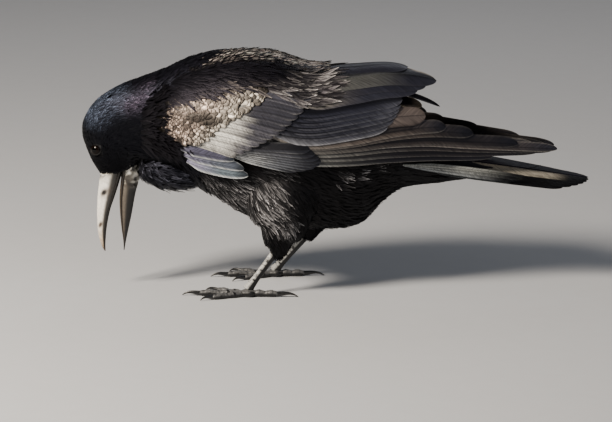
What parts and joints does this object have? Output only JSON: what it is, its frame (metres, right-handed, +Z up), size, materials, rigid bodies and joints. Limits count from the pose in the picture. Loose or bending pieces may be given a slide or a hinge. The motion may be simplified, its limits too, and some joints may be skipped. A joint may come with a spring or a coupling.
{
  "type": "rook",
  "caption": "Still, life-size model of an adult rook (Corvus frugilegus) that stands on both feet, head lowered, with its bare pale bill open and its wings folded.",
  "frame": {"origin": "centre of the bounding box's footprint, at the level of the soles", "axes": "+X from the bill towards the tail, -Y towards the bird's left side, +Z up"},
  "size_m": [0.3832, 0.11, 0.1837],
  "materials": {
    "body_plumage": "black contour feathers with a soft blue and violet gloss",
    "flight_feathers": "black flight feathers with a silky sheen and fine barbs",
    "bill_horn": "bare grey-white horn, chalky and slightly scuffed",
    "eye_gloss": "wet dark brown eye",
    "leg_scales": "black scaled skin with a satin light",
    "claw_horn": "polished black horn"
  },
  "bodies": {
    "root": {"head": "body_plumage", "neck": "body_plumage", "trunk": "body_plumage", "tail": "flight_feathers", "bill_upper": "bill_horn", "bill_lower": "bill_horn", "eye_left": "eye_gloss", "wing_left_coverts": "flight_feathers", "wing_left_alula": "flight_feathers", "wing_left_tertials": "flight_feathers", "wing_left_secondaries": "flight_feathers", "wing_left_primaries": "flight_feathers", "thigh_left": "body_plumage", "tarsus_left": "leg_scales", "toe_left_middle": "leg_scales", "claw_left_middle": "claw_horn", "toe_left_inner": "leg_scales", "claw_left_inner": "claw_horn", "toe_left_outer": "leg_scales", "claw_left_outer": "claw_horn", "toe_left_hind": "leg_scales", "claw_left_hind": "claw_horn", "eye_right": "eye_gloss", "wing_right_coverts": "flight_feathers", "wing_right_alula": "flight_feathers", "wing_right_tertials": "flight_feathers", "wing_right_secondaries": "flight_feathers", "wing_right_primaries": "flight_feathers", "thigh_right": "body_plumage", "tarsus_right": "leg_scales", "toe_right_middle": "leg_scales", "claw_right_middle": "claw_horn", "toe_right_inner": "leg_scales", "claw_right_inner": "claw_horn", "toe_right_outer": "leg_scales", "claw_right_outer": "claw_horn", "toe_right_hind": "leg_scales", "claw_right_hind": "claw_horn"}
  },
  "joints": []
}
